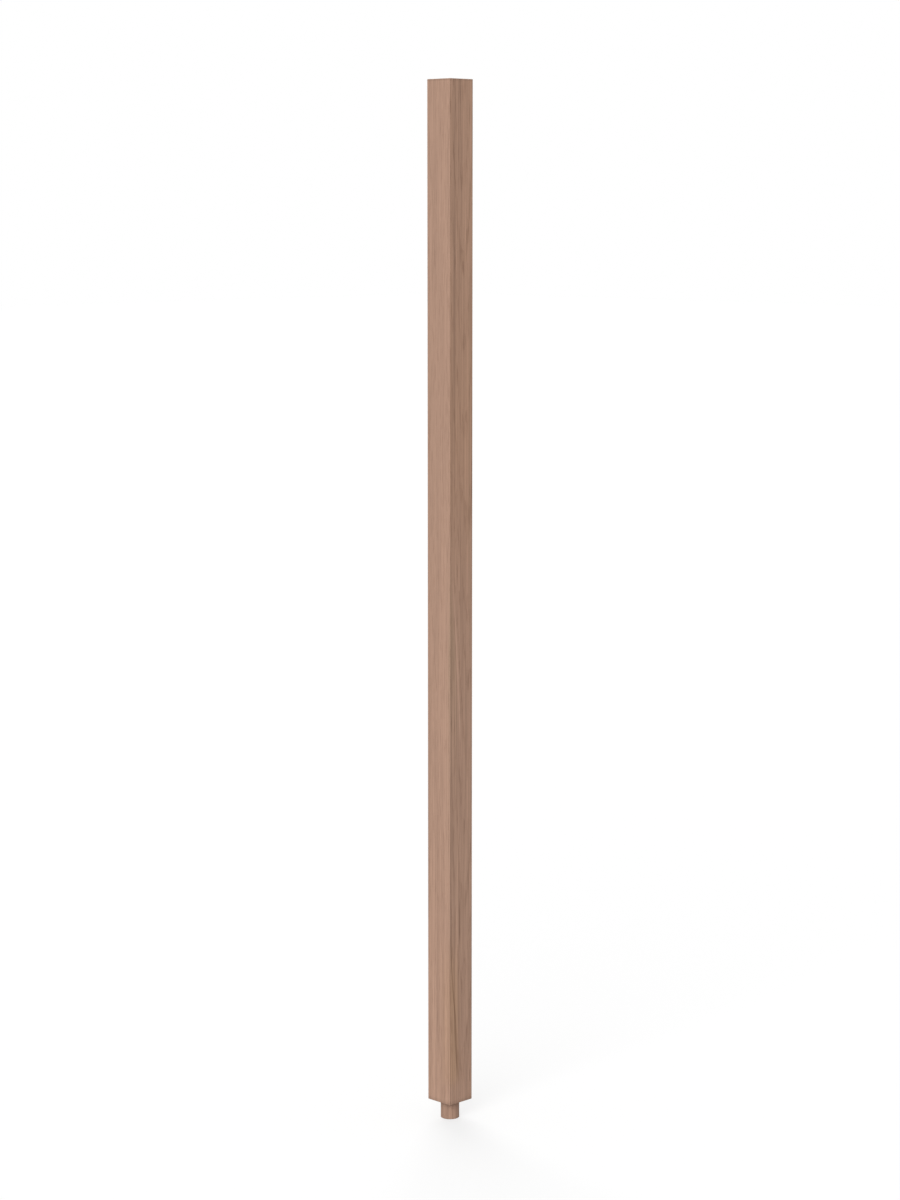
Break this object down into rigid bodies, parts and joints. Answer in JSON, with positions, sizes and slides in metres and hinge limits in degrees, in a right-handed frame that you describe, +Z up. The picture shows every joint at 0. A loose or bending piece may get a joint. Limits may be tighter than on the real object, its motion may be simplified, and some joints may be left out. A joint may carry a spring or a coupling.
{
  "type": "stair baluster",
  "caption": "Plain square wooden stair baluster with eased edges and a short turned pin below a square shoulder, which enters a hole in the stair tread.",
  "frame": {"origin": "middle of the shoulder, on the pin's axis, where the square bar meets the top of the tread", "axes": "+Z up the baluster from the shoulder to the top end; the flats of the square bar face X and Y"},
  "size_m": [0.0318, 0.0318, 1.0542],
  "materials": {
    "oak": "matte"
  },
  "bodies": {
    "root": {"baluster": "oak"}
  },
  "joints": []
}
